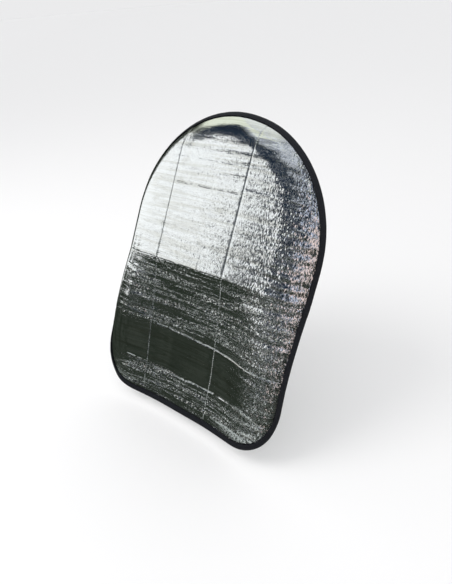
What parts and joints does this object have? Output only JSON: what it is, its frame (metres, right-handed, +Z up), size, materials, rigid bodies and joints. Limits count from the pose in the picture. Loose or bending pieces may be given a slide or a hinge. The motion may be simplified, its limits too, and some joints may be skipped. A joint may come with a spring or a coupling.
{
  "type": "steering wheel sunshade",
  "caption": "Silver foil sunshade with a taped edge that hoods the top of a car steering wheel and is held by an elastic strap behind the rim.",
  "frame": {"origin": "centre of the steering wheel that the shade hangs on, in the plane of its rim", "axes": "+Z up, +X to the driver's right, -Y towards the driver; the wheel and the shade's upper half lean back 30 degrees"},
  "size_m": [0.3963, 0.2514, 0.48],
  "materials": {
    "foil_laminate": "bright crinkled metallised foil",
    "woven_tape": "matte woven tape",
    "elastic": "matte ribbed elastic"
  },
  "bodies": {
    "root": {"front_panel": "foil_laminate", "edge_binding": "woven_tape", "elastic_strap": "elastic"}
  },
  "joints": []
}
